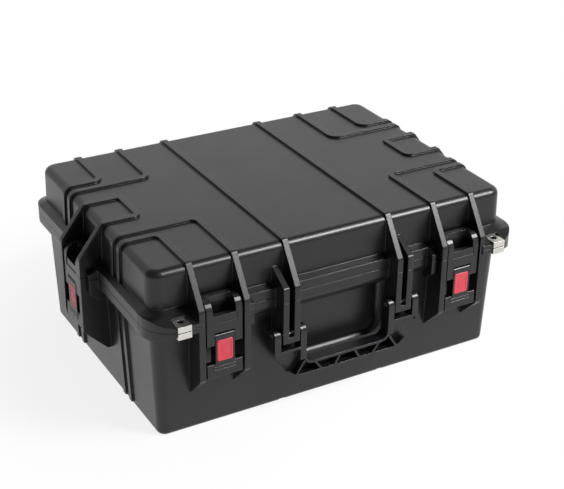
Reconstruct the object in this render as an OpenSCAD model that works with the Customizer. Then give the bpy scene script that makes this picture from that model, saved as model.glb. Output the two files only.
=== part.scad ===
// Hard case with a deep tub, a ribbed lid, four draw latches, a folding handle
// and padlock plates. Millimetres. The origin is the centre of the foot, +Z is up
// and the front, with the handle, faces -Y.

/* [Body] */
// Outside width of the lid at its foot
body_w = 522; // [500:1:560]
// Outside depth of the lid at its foot
body_d = 366; // [340:1:400]
// How far the tub's side walls stand back from the lid's
tub_inset_x = 2.5; // [0:0.5:4]
// How far the tub's front and back walls stand out of the lid's
tub_outset_y = 2; // [0:0.5:4]
// Height of the tub, from the floor to its rim
tub_h = 168.3; // [160:0.1:200]
// Height of the lid, from its rim to its flat top
lid_h = 67.3; // [60:0.1:80]
// Gap between the two rims
parting_gap = 0.4; // [0.2:0.1:0.8]
// Wall thickness of both mouldings
wall = 4; // [3:0.5:5]
// Radius of the upright corners, seen from above
corner_r = 18; // [14:1:24]
// Radius of the lid's top edge
lid_edge_r = 10; // [7:1:13]
// Radius of the tub's bottom edge
foot_edge_r = 6; // [3:1:8]
// Draft of the lid's walls in degrees
lid_draft = 1.2; // [0.5:0.1:2.5]
// Draft of the tub's walls in degrees
tub_draft = 2.2; // [1:0.1:3]

/* [Flange] */
// How far the flange stands out of the lid's side walls
flange_reach_x = 11; // [10:0.5:14]
// How far the flange stands out of the lid's front and back walls
flange_reach_y = 10.4; // [9:0.2:14]
// Radius of the flange's corners, seen from above
flange_r = 27; // [22:1:32]
// Height of the upright band on the lid's flange
lid_band = 13; // [10:0.5:16]
// Rise of the lid flange's top towards the wall
band_rise = 4; // [2:0.5:6]
// Height of the upright band on the tub's flange
tub_band = 14; // [10:0.5:18]
// Bevel under the tub's flange
flange_bevel = 16; // [12:1:20]

/* [Corner ledges] */
// How far the front corner ledges stand out of the flange
ledge_reach = 22; // [20:0.5:26]
// Radius of the ledge's corner, seen from above
ledge_r = 43; // [36:1:50]
// Height of the lid ledge at its front edge
ledge_lid_h = 5.5; // [4:0.5:8]
// Height of the tub ledge at its front edge
ledge_tub_h = 6; // [5:0.5:8]

/* [Ribs and fins] */
// Width of every rib and fin
rib_w = 8; // [6:0.5:9]
// Height of the raised ribs
rib_h = 2.8; // [2:0.2:4]
// Distance of the full-depth ribs from the middle
long_rib_x = 76; // [70:1:82]
// Distance of the outer corner ribs' cross legs from the middle
outer_leg_y = 91.8; // [86:0.2:98]
// Distance of the inner corner ribs' cross legs from the middle
inner_leg_y = 72.4; // [66:0.2:78]
// Distance of the side ribs' closing leg from the middle
side_leg_x = 206.8; // [196:0.2:212]
// Radius of the ribs' bends
rib_bend_r = 11; // [9:1:18]
// Radius of the side ribs' bends
side_bend_r = 7; // [6:1:12]
// How far the fins stand out of the flange
fin_reach = 20; // [19:0.5:24]
// Height above the rim where a front fin turns upright
front_bend_h = 18; // [14:0.5:22]
// Height above the rim where a side fin turns upright
side_bend_h = 25.5; // [20:0.5:30]
// Distance from the lid's wall back to where a front fin leaves the top
front_crest = 5; // [3:0.5:8]
// Distance from the lid's wall back to where a side fin leaves the top
side_crest = 2.5; // [1:0.5:6]
// Length of the fins below the rim
fin_drop = 79.3; // [76:0.1:90]
// Length of the slope under each fin
fin_slope = 32; // [24:1:36]
// Width of the small lug beside each latch
lug_w = 7; // [5:0.5:8]
// How far that lug stands out of the flange
lug_reach = 11.6; // [8:0.2:14]
// Gap between that lug and the fin
lug_gap = 3; // [2:0.5:5]

/* [Handle] */
// Centre distance of the two ears of a pair
ear_pitch = 16; // [15:0.5:18]
// Length of the ears below the rim
ear_drop = 58.8; // [56:0.2:64]
// Height of the web that joins two ears at the bottom
ear_web_h = 8; // [6:0.5:10]
// Depth of the handle, front to back
handle_t = 17; // [15:0.5:18]
// Diameter of the handle pins
handle_pin_d = 6; // [5:0.5:8]
// Height of the handle's pivot above the ears' lower end
handle_pivot_h = 10.5; // [9:0.5:14]
// Distance from the pivot down to the grip's lower edge
handle_drop = 65; // [60:0.5:72]
// Thickness of the grip, top to bottom
grip_h = 19; // [17:0.5:22]
// Width of the handle's outer prongs
outer_prong_w = 9; // [7:0.5:10]
// Width of the handle's inner prongs
inner_prong_w = 8.5; // [7:0.5:10]
// Gap between the outer prong and its ear
outer_prong_gap = 3; // [1:0.5:4]
// Gap between the inner prong and its ear
inner_prong_gap = 1.5; // [1:0.5:3]
// Thickness of the grip's rails and diagonals
truss_t = 3.4; // [2.6:0.2:4]
// Thickness of the grip's back
grip_back = 4; // [3:0.5:5]
// Thickness of the back of the two forks
fork_back = 7; // [5:0.5:9]
// Distance from the pivot down to the web between the prongs
fork_web_drop = 20.5; // [18:0.5:24]

/* [Latches] */
// Distance of the front latches' middle from the lid's side walls
latch_inset = 84; // [78:0.5:90]
// Clear width between the fins of a latch
latch_gap = 53.3; // [51:0.1:56]
// Gap on each side of a latch
latch_side_gap = 2.5; // [1.5:0.1:3]
// How far the latch's face stands out of the flange
latch_face = 18.6; // [17.6:0.2:19]
// Thickness of the hook frame
clamp_t = 8; // [7:0.5:9]
// Height of the hook frame's top above the rim
clamp_top = 26.5; // [24:0.5:30]
// Length of the hook frame's arms below the rim
clamp_drop = 34.3; // [32:0.1:38]
// Width of the window in the hook frame
window_w = 31; // [26:1:34]
// Height of the window's lower edge above the rim
window_foot = 7.5; // [6:0.5:9]
// Depth of the hook's bar over the lid
hook_depth = 10; // [8.5:0.5:10]
// Width of the button housing
housing_w = 26; // [24:0.5:27]
// Depth of the button housing below the rim, at its top
housing_top = 17.9; // [17.5:0.1:19]
// Depth below the rim of the red button's lower edge
button_foot = 56.3; // [54:0.1:57]
// Thickness of the red button
button_t = 3.2; // [2.6:0.2:4]
// Depth below the rim where the thumb tab starts
tab_top = 59.3; // [58:0.1:62]
// Depth below the rim of the thumb tab's lower edge
tab_foot = 78; // [72:0.5:84]
// Width of the red button
button_w = 21.8; // [19:0.2:22]
// Height of the red button
button_h = 30; // [26:0.5:31]
// Travel of the red button
button_travel = 3; // [2:0.5:3.5]
// Diameter of the lever's pivot pin
pivot_pin_d = 4; // [3:0.5:4.5]
// Diameter of the pin between the lever and the hook frame
link_pin_d = 3.5; // [3:0.5:4]

// Radius of the button's return spring
spring_r = 4; // [3:0.5:6]
// Diameter of the spring's wire
wire_d = 1; // [0.8:0.1:1.2]

/* [Padlock plates] */
// Gap between a front fin and the plate beside it
plate_gap = 11.5; // [8:0.1:14]
// Width of a plate
plate_w = 18; // [15:0.5:20]
// Thickness of a plate
plate_t = 2; // [1.5:0.1:2.5]
// Diameter of the padlock hole
padlock_d = 9; // [6:0.5:10]
// Height of the lid plate's top above the rim
plate_top = 9.2; // [8.5:0.1:11]

/* [Hinges] */
// Radius of the hinge knuckles
knuckle_r = 7; // [6:0.5:8]
// Length of one knuckle
knuckle_l = 10.2; // [9:0.1:12]
// Diameter of the hinge pins
hinge_pin_d = 5; // [4:0.5:6]

/* [Handle recess] */
// Half width of the hollow behind the handle
recess_x = 71; // [60:1:71]
// Height of the hollow's lower edge
recess_foot = 65; // [58:1:80]
// Depth of the hollow at its top
recess_depth = 8; // [6:0.5:10]
// Radius of the hollow's lower corners
recess_r = 20; // [16:1:26]

/* [Seal] */
// Diameter of the sealing ring's section
seal_d = 4.6; // [4:0.1:5]
// Width of the groove that holds the seal
groove_w = 5.6; // [5.4:0.1:6.4]
// Height of the tongue on the tub's rim
tongue_h = 3.4; // [3:0.1:4.4]

/* [Hidden] */

$fn = 48;
CHARCOAL = [0.13, 0.13, 0.14];
RED = [0.8, 0.12, 0.18];
STEEL = [0.78, 0.78, 0.76];
RUBBER = [0.05, 0.05, 0.05];

// Directions in which a plate or a latch faces
FRONT = -90;
RIGHT = 0;
BACK = 90;
LEFT = 180;

running = 0.05;      // radial clearance of a pin in its bore
slack = 0.3;         // clearance between parts that slide past each other
cut = 1;             // how far a cutter passes a face
embed = 2;           // how far a piece reaches into what carries it

// Heights
rim_z = tub_h;
lid_z = tub_h + parting_gap;
top_z = lid_z + lid_h;
crest_z = top_z + rib_h;
flange_top_z = lid_z + lid_band + band_rise;

// The tub under its flange
tub_w = body_w - 2 * tub_inset_x;
tub_d = body_d + 2 * tub_outset_y;

// Half sizes over the flange, where the latches hang
half_flange_w = body_w / 2 + flange_reach_x;
half_flange_d = body_d / 2 + flange_reach_y;
flange_round = 9;    // radius where the tub's band turns into its bevel
band_slope = 12;     // width of the slope on top of the lid's flange
fin_x = half_flange_w + fin_reach;
fin_y = half_flange_d + fin_reach;

// Ribs that flank the front latches
latch_x = body_w / 2 - latch_inset;
latch_pitch = latch_gap + rib_w;
inner_leg_x = latch_x - latch_pitch / 2;
outer_leg_x = latch_x + latch_pitch / 2;
fin_bend_r = 8;      // where a fin turns upright
fin_crest_r = 4;     // where a fin leaves the top
fin_foot_r = 8;      // where its upright edge turns into the slope under it

// Lugs beside the latches
lug_offset = latch_pitch / 2 + rib_w / 2 + lug_gap + lug_w / 2;
lug_drop = 21;       // upright part below the rim
lug_slope = 10;
lid_lug_h = 7;       // upright part above the rim
lid_lug_root = 12;   // height above the rim where the slope on top meets the band

// Each latch: the way it faces and its place along that side
LATCHES = [[FRONT, -latch_x], [FRONT, latch_x], [LEFT, 0], [RIGHT, 0]];

// Grooves under the foot for the ribs of a case below
stack_gap = 0.4;
stack_w = rib_w + 2;
stack_h = rib_h + stack_gap;

// Centres of the corner arcs that the wall sections are carried round
lid_cx = body_w / 2 - corner_r;
lid_cy = body_d / 2 - corner_r;
tub_cx = tub_w / 2 - corner_r;
tub_cy = tub_d / 2 - corner_r;
flange_cx = half_flange_w - flange_r;
flange_cy = half_flange_d - flange_r;
lid_lean = tan(lid_draft) * lid_h;
tub_lean = tan(tub_draft) * tub_h;

// Front corner ledges and their plates
ledge_y = half_flange_d + ledge_reach;
hole_reach = 11;     // distance of the padlock holes from the flange
plate_x = outer_leg_x + rib_w / 2 + plate_gap + plate_w / 2;
hole_y = half_flange_d + hole_reach;
plate_back_y = half_flange_d + 5;
lip_h = 8;           // height of a plate's turned-down front

// Hinge line
hinge_y = half_flange_d + knuckle_r + cut;
hinge_z = rim_z + parting_gap / 2;
knuckles = 5;
knuckle_pitch = knuckle_l + parting_gap;

// Seal, tongue and groove, as reach from the flange's corner centres
seal_inset = 5.3;
seal_reach = flange_r - seal_inset;
tongue_w = 3.5;
groove_top = rim_z + tongue_h + slack + seal_d + running;
seal_z = groove_top - running - seal_d / 2;

// Ears that carry the handle
ear_x = long_rib_x + ear_pitch;
ear_foot_z = rim_z - ear_drop;
ear_web_t = 4;
short_ear_bend_h = front_bend_h + 1.5;
short_ear_rise = 20; // height over which the short ear runs up the lid's wall
short_ear_bend_r = 4;

// Hollow behind the handle
recess_slope = 3;    // how much its corners widen towards the front
recess_edge_r = 8;

// Handle
pivot_y = fin_y - handle_t / 2 + 0.1;
pivot_z = ear_foot_z + handle_pivot_h;
outer_prong_in = ear_x + rib_w / 2 + outer_prong_gap;
outer_prong_out = outer_prong_in + outer_prong_w;
inner_prong_out = long_rib_x - rib_w / 2 - inner_prong_gap;
inner_prong_in = inner_prong_out - inner_prong_w;
grip_foot_z = pivot_z - handle_drop;
grip_top_z = grip_foot_z + grip_h;
grip_shoulder_h = 42; // height at which the outer edge turns in
grip_shoulder_x = 24; // how far it has come in at the grip
grip_flat_x = 37;     // where the grip's flat underside begins
grip_toe_h = 4;       // height of the underside's outer corner
shoulder_r = 12;
toe_r = 14;
underside_r = 6;
opening_r = 11;

// Truss of the grip, as [x at the top, x at the foot]; the outer pair divides the
// grip's pockets from those of the two forks
outer_top = inner_prong_in + 2.5;
outer_foot = outer_top + 14;
DIAGONALS = [[outer_top, outer_foot], [53, 36], [8, 20.5]];

// Latch, in its own frame: x along the wall, -y outwards from the flange's face, z from the rim
latch_w = latch_gap - 2 * latch_side_gap;
strike_top = parting_gap + lid_band + band_rise;
lever_pivot = [-5.2, -14.5];
boss_r = 4.5;
link_pivot = [-10.4, -27];
link_boss_r = 3.9;
housing_face = latch_face + 0.6;
housing_back = 6;
pocket_floor = housing_back + 2.4;
button_gap = 0.3;
clamp_gap = 2.5;
button_face = housing_face + 0.3;
tab_ridge_r = 1.2;   // two ridges across the thumb tab
spring_z = -button_foot + button_h / 2;

// A unit vector
function unit(v) = v / norm(v);

// The arc that rounds corner b, given as [x, y, radius], between its neighbours a and c
function corner_arc(a, b, c, steps) =
    let (p = [b[0], b[1]],
         u = unit([a[0], a[1]] - p),
         w = unit([c[0], c[1]] - p),
         half = acos(u * w) / 2,
         centre = p + unit(u + w) * b[2] / sin(half),
         from = p + u * b[2] / tan(half) - centre,
         to = p + w * b[2] / tan(half) - centre,
         start = atan2(from[1], from[0]),
         turn = (atan2(to[1], to[0]) - start + 540) % 360 - 180)
    [for (i = [0 : steps])
        centre + b[2] * [cos(start + turn * i / steps), sin(start + turn * i / steps)]];

// Points of an outline with corners [x, y, radius]; a radius of 0 stays sharp
function rounded(corners, steps = 5) =
    let (n = len(corners))
    [for (i = [0 : n - 1])
        each corners[i][2] == 0
            ? [[corners[i][0], corners[i][1]]]
            : corner_arc(corners[(i + n - 1) % n], corners[i], corners[(i + 1) % n], steps)];

// Draws an outline of (distance outwards, height) as a plate that faces one way
module plate(facing, along, width)
    rotate([0, 0, facing]) translate([0, along, 0])
        rotate([90, 0, 0]) linear_extrude(width, center = true) children();

// Carries a section of (reach, height) round a rectangle with rounded corners
module carried(cx, cy) {
    for (sx = [0, 1], sy = [0, 1])
        mirror([sx, 0, 0]) mirror([0, sy, 0]) translate([cx, cy, 0])
            rotate_extrude(angle = 90) children();
    for (facing = [RIGHT, LEFT])
        rotate([0, 0, facing]) translate([cx, 0, 0])
            rotate([90, 0, 0]) linear_extrude(2 * cy, center = true) children();
    for (facing = [FRONT, BACK])
        rotate([0, 0, facing]) translate([cy, 0, 0])
            rotate([90, 0, 0]) linear_extrude(2 * cx, center = true) children();
}

// A filled body: the section carried round, and the block inside it
module filled(cx, cy, z0, z1) {
    carried(cx, cy) children();
    translate([-cx, -cy, z0]) cube([2 * cx, 2 * cy, z1 - z0]);
}

// Puts a latch's own frame on one of the four sides
module at_latch(facing, along)
    rotate([0, 0, facing + 90])
        translate([along, -(facing == FRONT ? half_flange_d : half_flange_w), rim_z])
            children();

// Extrudes a side view of (y, z) in a latch's own frame, centred on x
module latch_slice(x, width)
    translate([x, 0, 0]) rotate([90, 0, 90])
        linear_extrude(width, center = true) children();

// ---- Tub ----

module tub_outer()
    filled(tub_cx, tub_cy, 0, rim_z)
        polygon(rounded([[0, 0, 0], [corner_r - tub_lean, 0, foot_edge_r],
                         [corner_r, rim_z, 0], [0, rim_z, 0]]));

module tub_inner()
    filled(tub_cx, tub_cy, wall, rim_z + cut)
        polygon(rounded([[0, wall, 0], [corner_r - tub_lean - wall, wall, foot_edge_r - wall / 2],
                         [corner_r - wall, rim_z + cut, 0], [0, rim_z + cut, 0]]));

module tub_flange()
    carried(flange_cx, flange_cy)
        polygon(rounded([[0, rim_z, 0], [flange_r, rim_z, 0], [flange_r, rim_z - tub_band, flange_round],
                         [flange_r - flange_bevel, rim_z - tub_band - flange_bevel, 0],
                         [0, rim_z - tub_band - flange_bevel, 0]]));

// Outline of a fin on the tub, with a slope under it
module tub_fin_outline(out, wall_out)
    polygon(rounded([[wall_out, rim_z, 0], [out, rim_z, 0], [out, rim_z - fin_drop, fin_foot_r],
                     [out - fin_slope, rim_z - fin_drop - fin_slope, 0],
                     [wall_out, rim_z - fin_drop - fin_slope, 0]]));

module tub_fins() {
    for (x = [-outer_leg_x, -inner_leg_x, inner_leg_x, outer_leg_x])
        plate(FRONT, x, rib_w)
            tub_fin_outline(fin_y, tub_d / 2 - wall - embed);
    for (facing = [LEFT, RIGHT], y = [-latch_pitch / 2, latch_pitch / 2])
        plate(facing, y, rib_w)
            tub_fin_outline(fin_x, tub_w / 2 - wall - embed);
}

module tub_ears() {
    ear_back = tub_d / 2 - wall - embed;
    for (s = [-1, 1]) {
        for (x = [long_rib_x, ear_x])
            plate(FRONT, s * x, rib_w)
                translate([ear_back, ear_foot_z]) square([fin_y - ear_back, ear_drop]);
        translate([s * (long_rib_x + ear_pitch / 2), -fin_y + ear_web_t / 2,
                   ear_foot_z + ear_web_h / 2])
            cube([ear_pitch, ear_web_t, ear_web_h], center = true);
    }
}

// Plain ribs on the tub's side and back walls
module tub_rib_outline(half)
    polygon([[half - wall, rim_z - tub_band],
             [half + rib_h, rim_z - tub_band],
             [half + rib_h - tub_lean, foot_edge_r],
             [half - tub_lean - wall, foot_edge_r]]);

module tub_ribs() {
    for (facing = [LEFT, RIGHT], y = [outer_leg_y, inner_leg_y], s = [-1, 1])
        plate(facing, s * y, rib_w) tub_rib_outline(tub_w / 2);
    for (x = [long_rib_x, inner_leg_x, outer_leg_x], s = [-1, 1])
        plate(BACK, s * x, rib_w) tub_rib_outline(tub_d / 2);
}

// Seen from above, the front corner ledge on the right
module ledge_plan() {
    translate([outer_leg_x, -ledge_y])
        square([half_flange_w - ledge_r - outer_leg_x, ledge_r]);
    intersection() {
        translate([half_flange_w - ledge_r, ledge_r - ledge_y]) circle(ledge_r);
        translate([half_flange_w - ledge_r - cut, -ledge_y]) square([ledge_r + cut, ledge_r]);
    }
}

// A ledge on both corners: the plan, kept within an outline of (distance forwards, height)
module ledges(z0, h)
    for (s = [0, 1]) mirror([s, 0, 0]) intersection() {
        translate([0, 0, z0]) linear_extrude(h) ledge_plan();
        plate(FRONT, half_flange_w, 2 * half_flange_w) children();
    }

module tub_ledges()
    ledges(rim_z - tub_band, tub_band)
        polygon([[0, rim_z], [ledge_y, rim_z], [ledge_y, rim_z - ledge_tub_h],
                 [half_flange_d, rim_z - tub_band], [0, rim_z - tub_band]]);

// Knuckles of one hinge leaf: every second one belongs to the same moulding
module knuckle_row(first, z0, h)
    for (s = [-1, 1], i = [first : 2 : knuckles - 1]) {
        x = s * latch_x + (i - (knuckles - 1) / 2) * knuckle_pitch;
        translate([x, hinge_y, hinge_z]) rotate([0, 90, 0])
            cylinder(r = knuckle_r, h = knuckle_l, center = true);
        translate([x - knuckle_l / 2, half_flange_d - embed, z0])
            cube([knuckle_l, hinge_y - half_flange_d + embed, h]);
    }

module hinge_bores()
    for (s = [-1, 1])
        translate([s * latch_x, hinge_y, hinge_z]) rotate([0, 90, 0])
            cylinder(d = hinge_pin_d + 2 * running, h = knuckles * knuckle_pitch + 2 * cut,
                     center = true);

module padlock_bores()
    for (s = [-1, 1])
        translate([s * plate_x, -hole_y, rim_z - tub_band - cut])
            cylinder(d = padlock_d, h = tub_band + parting_gap + lid_band + band_rise + 2 * cut);

// Outline of the small lug beside a latch
module tub_lug_outline(out, wall_out)
    polygon([[wall_out, rim_z], [out + lug_reach, rim_z],
             [out + lug_reach, rim_z - lug_drop],
             [out, rim_z - lug_drop - lug_slope], [wall_out, rim_z - lug_drop - lug_slope]]);

module tub_lugs() {
    for (s = [-1, 1])
        plate(FRONT, s * (latch_x - lug_offset), lug_w)
            tub_lug_outline(half_flange_d, tub_d / 2 - wall - embed);
    for (facing = [LEFT, RIGHT], s = [-1, 1])
        plate(facing, s * lug_offset, lug_w)
            tub_lug_outline(half_flange_w, tub_w / 2 - wall - embed);
}

// Grooves in the foot, in which the long ribs of a case below would lie
module stacking_grooves()
    for (s = [-1, 1])
        translate([s * long_rib_x, 0, 0])
            cube([stack_w, tub_d, 2 * stack_h], center = true);

module stacking_ridges()
    for (s = [-1, 1])
        translate([s * long_rib_x, 0, wall + stack_h / 2])
            cube([stack_w + 2 * wall, tub_d - 4 * wall, stack_h], center = true);

module pivot_pin_bores()
    for (side = LATCHES)
        at_latch(side[0], side[1])
            translate([0, lever_pivot[0], lever_pivot[1]]) rotate([0, 90, 0])
                cylinder(d = pivot_pin_d + 2 * running, h = latch_pitch + rib_w + 2 * cut,
                         center = true);

module handle_pin_bores()
    at_forks(long_rib_x - rib_w, ear_x + rib_w, handle_pin_d + 2 * running);

// The hollow behind the handle, and with a larger grow the wall that backs it
module recess(grow)
    translate([0, -tub_d / 2, rim_z]) rotate([90, 0, 0])
        filled(recess_x - recess_r, rim_z - recess_foot - recess_r,
               -recess_depth - grow, recess_slope)
            polygon(rounded([[0, -recess_depth - grow, 0],
                             [recess_r + grow - recess_slope, -recess_depth - grow,
                              recess_edge_r],
                             [recess_r + grow, recess_slope, 0], [0, recess_slope, 0]]));

module tongue()
    carried(flange_cx, flange_cy)
        translate([seal_reach - tongue_w / 2, rim_z - cut]) square([tongue_w, tongue_h + cut]);

module tub()
    color(CHARCOAL) difference() {
        union() {
            difference() {
                union() {
                    difference() {
                        tub_outer();
                        recess(0);
                    }
                    tub_flange();
                    tub_fins();
                    tub_ears();
                    tub_ribs();
                    tub_ledges();
                    tub_lugs();
                }
                difference() {
                    tub_inner();
                    recess(wall);
                }
            }
            tongue();
            stacking_ridges();
            knuckle_row(0, hinge_z - knuckle_r, knuckle_r - parting_gap / 2);
        }
        plate_pads(plate_w + 2 * slack, rim_z - tub_band - cut, tub_band - ledge_tub_h + cut,
                   ledge_y + cut);
        stacking_grooves();
        hinge_bores();
        padlock_bores();
        pivot_pin_bores();
        handle_pin_bores();
    }

// ---- Lid ----

module lid_outer()
    filled(lid_cx, lid_cy, lid_z, top_z)
        polygon(rounded([[0, lid_z, 0], [corner_r, lid_z, 0],
                         [corner_r - lid_lean, top_z, lid_edge_r], [0, top_z, 0]], 8));

module lid_inner()
    filled(lid_cx, lid_cy, lid_z - cut, top_z - wall)
        polygon(rounded([[0, lid_z - cut, 0], [corner_r - wall, lid_z - cut, 0],
                         [corner_r - wall - lid_lean, top_z - wall, lid_edge_r - wall],
                         [0, top_z - wall, 0]]));

module lid_flange()
    carried(flange_cx, flange_cy)
        polygon([[0, lid_z], [flange_r, lid_z], [flange_r, lid_z + lid_band],
                 [flange_r - band_slope, flange_top_z], [0, flange_top_z]]);

// A rib over the top that runs down the wall to the flange
module rib_outline(from, half)
    polygon(rounded([[from, lid_z + wall, 0], [half, lid_z + wall, 0],
                     [half + rib_h, flange_top_z - embed, 0],
                     [half + rib_h - lid_lean, crest_z, lid_edge_r + rib_h],
                     [from, crest_z, 0]], 8));

// A rib over the top that turns into a fin
module fin_outline(from, half, out, crest, bend_h)
    polygon(rounded([[from, lid_z, 0], [out, lid_z, 0], [out, lid_z + bend_h, fin_bend_r],
                     [half - crest, crest_z, fin_crest_r], [from, crest_z, 0]]));

module front_fin(from)
    fin_outline(from, body_d / 2, fin_y, front_crest, front_bend_h);

module long_ribs()
    for (s = [-1, 1]) {
        plate(FRONT, s * long_rib_x, rib_w) front_fin(0);
        plate(BACK, s * long_rib_x, rib_w) rib_outline(0, body_d / 2);
    }

// Quarter bend of a rib on the lid's top
module rib_bend(r)
    rotate([0, 0, 180]) rotate_extrude(angle = 90)
        translate([r - rib_w / 2, top_z - wall / 2]) square([rib_w, rib_h + wall / 2]);

// An L of ribs in one quarter of the lid; its long leg ends in a fin at the front
module corner_rib(x, y, is_front) {
    plate(RIGHT, y, rib_w) rib_outline(x + rib_bend_r, body_w / 2);
    plate(BACK, -x, rib_w)
        if (is_front) front_fin(y + rib_bend_r);
        else rib_outline(y + rib_bend_r, body_d / 2);
    translate([x + rib_bend_r, y + rib_bend_r, 0]) rib_bend(rib_bend_r);
}

module corner_ribs()
    for (sx = [0, 1], is_front = [false, true])
        mirror([sx, 0, 0]) mirror([0, is_front ? 1 : 0, 0]) {
            corner_rib(inner_leg_x, inner_leg_y, is_front);
            corner_rib(outer_leg_x, outer_leg_y, is_front);
        }

// A U of ribs on each side, whose legs end in the side latch's fins
module side_ribs()
    for (sx = [0, 1], sy = [0, 1]) mirror([sx, 0, 0]) mirror([0, sy, 0]) {
        plate(RIGHT, latch_pitch / 2, rib_w)
            fin_outline(side_leg_x + side_bend_r, body_w / 2, fin_x, side_crest, side_bend_h);
        translate([side_leg_x + side_bend_r, latch_pitch / 2 - side_bend_r, 0])
            rotate([0, 0, -90]) rib_bend(side_bend_r);
        translate([side_leg_x - rib_w / 2, 0, top_z - wall / 2])
            cube([rib_w, latch_pitch / 2 - side_bend_r, rib_h + wall / 2]);
    }

module lid_ears()
    for (s = [-1, 1])
        plate(FRONT, s * ear_x, rib_w)
            polygon(rounded([[body_d / 2 - wall, lid_z, 0], [fin_y, lid_z, 0],
                             [fin_y, lid_z + short_ear_bend_h, short_ear_bend_r],
                             [body_d / 2 - wall, lid_z + short_ear_bend_h + short_ear_rise, 0]]));

module lid_ledges()
    ledges(lid_z, lid_band)
        polygon([[0, lid_z], [ledge_y, lid_z], [ledge_y, lid_z + ledge_lid_h],
                 [half_flange_d, lid_z + lid_band], [0, lid_z + lid_band]]);

// Flat pads for the lid's padlock plates
module plate_pads(w, z0, h, out)
    for (s = [-1, 1])
        translate([s * plate_x - w / 2, -out, z0]) cube([w, out - plate_back_y, h]);

module lid_lug_outline(out, wall_out)
    polygon([[wall_out, lid_z], [out + lug_reach, lid_z], [out + lug_reach, lid_z + lid_lug_h],
             [out, lid_z + lid_lug_root], [wall_out, lid_z + lid_lug_root]]);

module lid_lugs() {
    for (s = [-1, 1])
        plate(FRONT, s * (latch_x - lug_offset), lug_w)
            lid_lug_outline(half_flange_d, body_d / 2 - wall);
    for (facing = [LEFT, RIGHT], s = [-1, 1])
        plate(facing, s * lug_offset, lug_w)
            lid_lug_outline(half_flange_w, body_w / 2 - wall);
}

// The bar under each latch's hook
module strikes()
    for (side = LATCHES)
        at_latch(side[0], side[1])
            translate([-latch_w / 2, 0, parting_gap + lid_band - cut])
                cube([latch_w, band_slope, band_rise + cut]);

module seal_groove()
    carried(flange_cx, flange_cy)
        translate([seal_reach - groove_w / 2, lid_z - cut])
            square([groove_w, groove_top - lid_z + cut]);

module lid()
    color(CHARCOAL) difference() {
        union() {
            difference() {
                union() {
                    lid_outer();
                    lid_flange();
                    long_ribs();
                    corner_ribs();
                    side_ribs();
                    lid_ears();
                    lid_ledges();
                    lid_lugs();
                    strikes();
                    plate_pads(plate_w + 2, lid_z, plate_top - plate_t - parting_gap, ledge_y);
                }
                lid_inner();
            }
            knuckle_row(1, lid_z, knuckle_r - parting_gap / 2);
        }
        seal_groove();
        plate_pads(plate_w + 2 * slack, rim_z + plate_top - plate_t, lid_band, ledge_y + cut);
        hinge_bores();
        padlock_bores();
    }

module seal_ring()
    color(RUBBER) carried(flange_cx, flange_cy)
        translate([seal_reach, seal_z]) circle(d = seal_d, $fn = 24);

// ---- Padlock plates and hinge pins ----

module padlock_plate(s, z_leaf, z_lip)
    color(STEEL) difference() {
        union() {
            translate([s * plate_x - plate_w / 2, -ledge_y - plate_t, z_leaf])
                cube([plate_w, ledge_y + plate_t - plate_back_y - slack, plate_t]);
            translate([s * plate_x - plate_w / 2, -ledge_y - plate_t, z_lip])
                cube([plate_w, plate_t, lip_h]);
        }
        padlock_bores();
    }

module lid_padlock_plate(s)
    padlock_plate(s, rim_z + plate_top - plate_t, rim_z + plate_top - lip_h);

module tub_padlock_plate(s)
    padlock_plate(s, rim_z - ledge_tub_h - plate_t, rim_z - ledge_tub_h - plate_t);

module hinge_pin(s)
    color(STEEL) translate([s * latch_x, hinge_y, hinge_z]) rotate([0, 90, 0])
        cylinder(d = hinge_pin_d, h = knuckles * knuckle_pitch, center = true);

// ---- Carry handle ----

// The whole face, inset by t all round the edge, closed across the top at height z
function handle_face(t, z) =
    let (right = [[outer_prong_out - t, z, 0],
                  [outer_prong_out - t, grip_foot_z + grip_shoulder_h, shoulder_r],
                  [outer_prong_out - grip_shoulder_x - t * 0.9, grip_foot_z + grip_toe_h + t * 0.6, toe_r],
                  [outer_prong_out - grip_flat_x - t * 0.3, grip_foot_z + t, underside_r]],
         left = [for (i = [3 : -1 : 0]) [-right[i][0], right[i][1], right[i][2]]])
    rounded(concat(right, left));

function handle_opening(t, z) =
    rounded([[-inner_prong_in - t, z, 0], [-inner_prong_in - t, grip_top_z - t, opening_r + t],
             [inner_prong_in + t, grip_top_z - t, opening_r + t],
             [inner_prong_in + t, z, 0]]);

module diagonals(t)
    for (s = [0, 1]) mirror([s, 0, 0])
        for (d = DIAGONALS)
            polygon([[d[0] - t / 2, grip_top_z + 3], [d[0] + t / 2, grip_top_z + 3],
                     [d[1] + t / 2, grip_foot_z], [d[1] - t / 2, grip_foot_z]]);

// Prongs, seen from the front, down to where they meet the grip
module prongs_face()
    for (s = [-1, 1])
        translate([s * (inner_prong_in + inner_prong_out) / 2, pivot_z])
            square([inner_prong_w, 2 * (handle_drop - grip_h - 6)], center = true);

module grip_area()
    polygon([[-outer_top, grip_top_z + 3], [outer_top, grip_top_z + 3],
             [outer_foot, grip_foot_z], [-outer_foot, grip_foot_z]]);

// Pockets of the whole handle, seen from the front
module handle_pockets()
    difference() {
        polygon(handle_face(truss_t, pivot_z - fork_web_drop - truss_t));
        polygon(handle_opening(truss_t, pivot_z));
        diagonals(truss_t);
        prongs_face();
    }

// Cuts pockets into the handle's front down to a back of the given thickness
module handle_cut(back)
    translate([0, -pivot_y + handle_t / 2 - back, 0]) rotate([90, 0, 0])
        linear_extrude(handle_t + 2 * cut) children();

module fork_slots()
    for (s = [-1, 1])
        translate([s * (inner_prong_out + outer_prong_in) / 2,
                   pivot_z + handle_t - fork_web_drop])
            square([outer_prong_in - inner_prong_out, 2 * handle_t], center = true);

// Puts a bar along X at both ends of the handle
module at_forks(from, to, d)
    for (s = [-1, 1])
        translate([s * (from + to) / 2, -pivot_y, pivot_z]) rotate([0, 90, 0])
            cylinder(d = d, h = to - from, center = true);

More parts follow.
